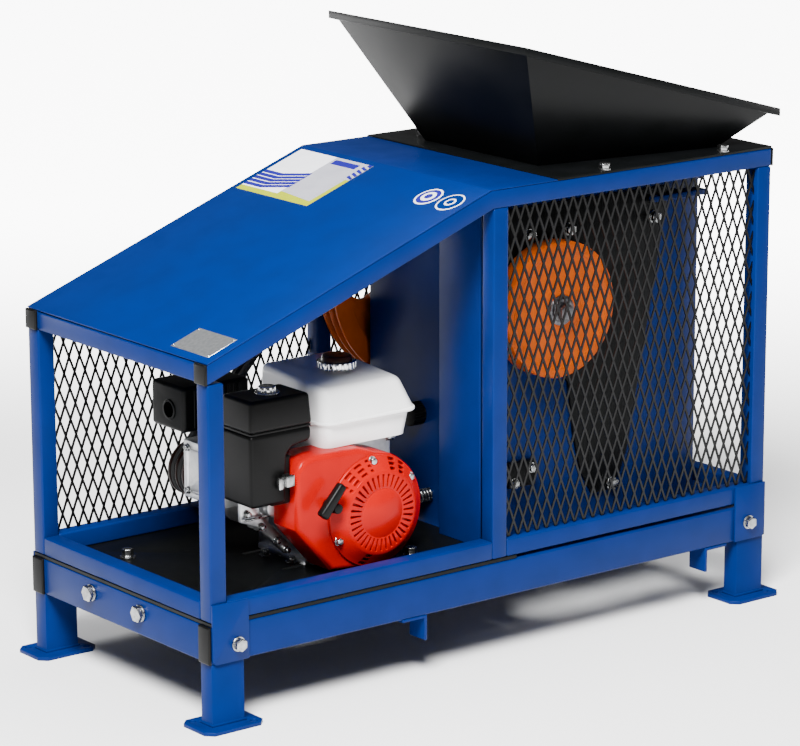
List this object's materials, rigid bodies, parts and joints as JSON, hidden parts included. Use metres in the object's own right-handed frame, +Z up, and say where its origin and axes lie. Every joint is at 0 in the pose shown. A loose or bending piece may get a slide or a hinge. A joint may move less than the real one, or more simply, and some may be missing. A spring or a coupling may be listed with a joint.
{
  "type": "engine-driven jaw crusher",
  "caption": "Small jaw crusher on a square-tube stand: sloping hopper, crusher body with a flywheel and a belt-driven wheel, and a petrol engine under a sloping canopy.",
  "frame": {"origin": "on the floor, midway between the four foot plates", "axes": "+X along the stand from the engine end to the crusher end, +Y towards the belt side, +Z up"},
  "size_m": [1.2, 0.55, 0.995],
  "materials": {
    "frame_paint": "gloss blue enamel",
    "black_paint": "semi-gloss black enamel",
    "black_mesh": "black enamel on expanded metal",
    "orange_paint": "gloss orange enamel",
    "red_paint": "gloss red enamel",
    "white_paint": "gloss white enamel",
    "black_plastic": "moulded",
    "plain_steel": "turned",
    "jaw_steel": "cast manganese steel",
    "cast_alloy": "die cast",
    "belt_rubber": "matt",
    "pulley_iron": "primed"
  },
  "bodies": {
    "stand": {"adjuster_knob": "black_plastic", "air_cleaner": "black_plastic", "base_beam_far": "frame_paint", "base_beam_near": "frame_paint", "base_crossbars": "frame_paint", "cage_cross_rails": "frame_paint", "cage_lower_rails": "frame_paint", "cage_post_far_left": "frame_paint", "cage_post_far_mid": "frame_paint", "cage_post_far_right": "frame_paint", "cage_post_near_left": "frame_paint", "cage_post_near_mid": "frame_paint", "cage_post_near_right": "frame_paint", "canopy_sheet": "frame_paint", "cheek_plate_far": "black_paint", "cheek_plate_near": "black_paint", "chute_brackets": "frame_paint", "corner_plates": "frame_paint", "drive_belts": "belt_rubber", "end_caps": "black_plastic", "engine_block": "cast_alloy", "engine_head": "cast_alloy", "engine_plate": "black_paint", "fan_cover": "red_paint", "fixed_jaw": "jaw_steel", "front_wall": "frame_paint", "fuel_cap": "plain_steel", "fuel_tank": "white_paint", "hopper": "black_paint", "hopper_flange": "black_paint", "leg_far_left": "frame_paint", "leg_far_right": "frame_paint", "leg_near_left": "frame_paint", "leg_near_right": "frame_paint", "mesh_far_left": "black_mesh", "mesh_far_right": "black_mesh", "mesh_near_right": "black_mesh", "muffler": "black_paint", "partition_plate": "frame_paint", "rear_wall": "frame_paint", "recoil_starter": "red_paint", "reduction_case": "cast_alloy", "side_plate_far": "frame_paint", "side_plate_near": "frame_paint", "swing_jaw": "jaw_steel", "tension_rod": "plain_steel", "tension_spring": "plain_steel", "toggle_blocks": "black_paint", "toggle_plate": "jaw_steel", "top_rail_far": "frame_paint", "top_rail_near": "frame_paint"},
    "crusher_rotor": {"eccentric_shaft": "plain_steel", "flywheel_near": "orange_paint", "driven_pulley": "orange_paint"},
    "drive_pulley": {"driver_pulley": "pulley_iron"}
  },
  "joints": [
    {"name": "rotor_spin", "type": "hinge", "parent": "stand", "child": "crusher_rotor", "pos_m": [0.158, 0, 0.55], "axis": [0, 1, 0], "continuous": true},
    {"name": "drive_pulley_spin", "type": "hinge", "parent": "stand", "child": "drive_pulley", "pos_m": [-0.291, 0.1875, 0.275], "axis": [0, 1, 0], "continuous": true}
  ],
  "couplings": [
    {"joint": "drive_pulley_spin", "follows": "rotor_spin", "ratio": 4.186}
  ]
}
